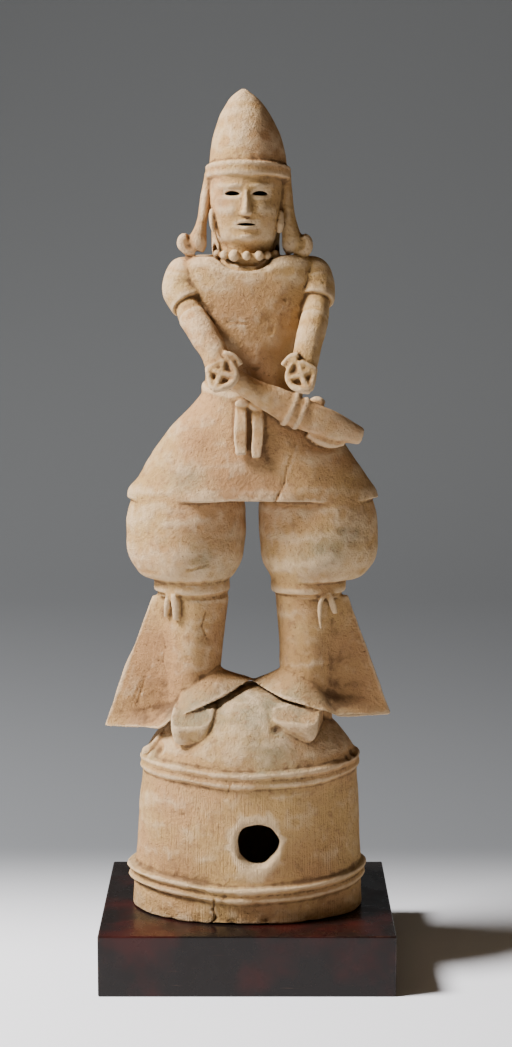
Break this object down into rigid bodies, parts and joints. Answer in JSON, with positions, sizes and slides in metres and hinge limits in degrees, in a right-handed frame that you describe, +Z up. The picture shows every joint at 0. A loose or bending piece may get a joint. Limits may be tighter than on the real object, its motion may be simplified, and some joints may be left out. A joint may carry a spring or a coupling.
{
  "type": "haniwa figure",
  "caption": "Standing clay warrior in a peaked cap with flared trousers and a sword, on its own oval drum and a low dark plinth.",
  "frame": {"origin": "middle of the plinth's underside", "axes": "+Z up; the figure faces -Y; +X is the figure's own left, the side of the sword"},
  "size_m": [0.43, 0.372, 1.296],
  "materials": {
    "terracotta": "matt unglazed fired clay",
    "lacquered_wood": "dark reddish brown lacquer, satin"
  },
  "bodies": {
    "root": {"haniwa_figure": "terracotta", "plinth": "lacquered_wood"}
  },
  "joints": []
}
